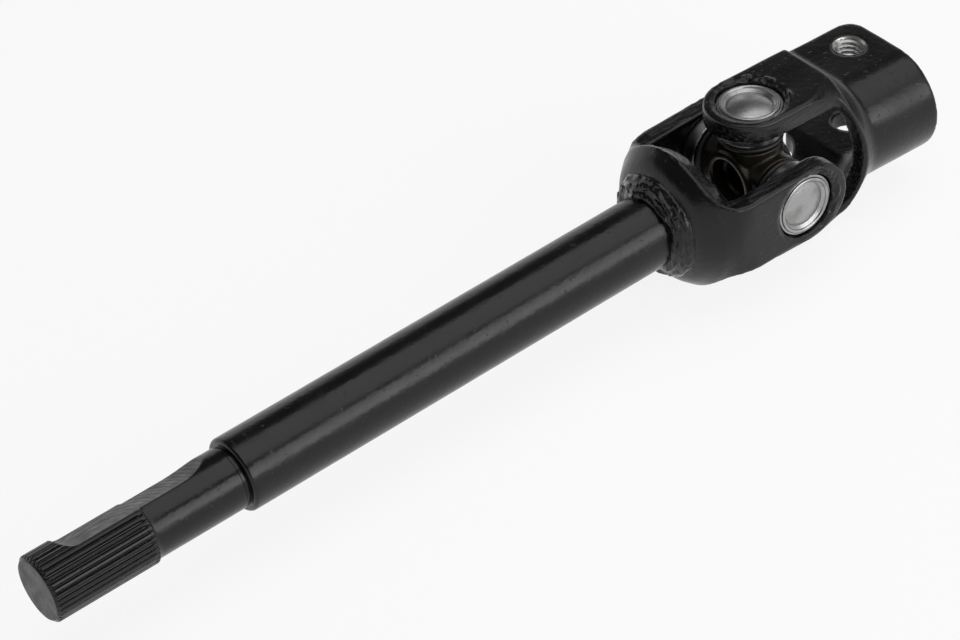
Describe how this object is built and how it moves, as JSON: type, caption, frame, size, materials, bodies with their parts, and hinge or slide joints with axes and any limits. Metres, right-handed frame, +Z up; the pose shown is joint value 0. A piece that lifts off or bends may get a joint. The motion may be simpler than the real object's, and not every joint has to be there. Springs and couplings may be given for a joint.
{
  "type": "steering shaft with universal joint",
  "caption": "Black steering shaft with a serrated notched end, a welded universal joint and a side-entry clamp yoke for the next shaft.",
  "frame": {"origin": "centre of the flat end face of the serrated end", "axes": "+X along the shaft towards the joint and the clamp yoke, +Y across the shaft along the pin of the welded yoke, +Z up along the pin of the clamp yoke when the joint is straight"},
  "size_m": [0.2528, 0.0404, 0.0421],
  "materials": {
    "shaft_paint": "semi-gloss black paint",
    "yoke_paint": "semi-gloss black paint over pressed plate",
    "weld_paint": "gloss black paint over a weld",
    "cross_steel": "dark forged steel",
    "cup_steel": "bare satin steel",
    "needle_steel": "ground steel",
    "pad_plastic": "natural plastic",
    "seal_rubber": "matte rubber"
  },
  "bodies": {
    "shaft_side": {"shaft": "shaft_paint", "shaft_yoke": "yoke_paint", "weld_bead": "weld_paint", "bearing_cup_near": "cup_steel", "needle_rollers_near": "needle_steel", "thrust_pad_near": "pad_plastic", "bearing_cup_far": "cup_steel", "needle_rollers_far": "needle_steel", "thrust_pad_far": "pad_plastic"},
    "cross_side": {"cross": "cross_steel", "trunnion_seal_near": "seal_rubber", "trunnion_seal_far": "seal_rubber", "trunnion_seal_top": "seal_rubber", "trunnion_seal_bottom": "seal_rubber"},
    "clamp_side": {"clamp_yoke": "yoke_paint", "bearing_cup_top": "cup_steel", "needle_rollers_top": "needle_steel", "thrust_pad_top": "pad_plastic", "bearing_cup_bottom": "cup_steel", "needle_rollers_bottom": "needle_steel", "thrust_pad_bottom": "pad_plastic"}
  },
  "joints": [
    {"name": "side_pin", "type": "hinge", "parent": "shaft_side", "child": "cross_side", "pos_m": [0.2045, 0, 0], "axis": [0, 1, 0], "range_deg": [-33, 27]},
    {"name": "ear_pin", "type": "hinge", "parent": "cross_side", "child": "clamp_side", "pos_m": [0.2045, 0, 0], "axis": [0.0541, 0, 0.9985], "range_deg": [-30, 30]}
  ]
}
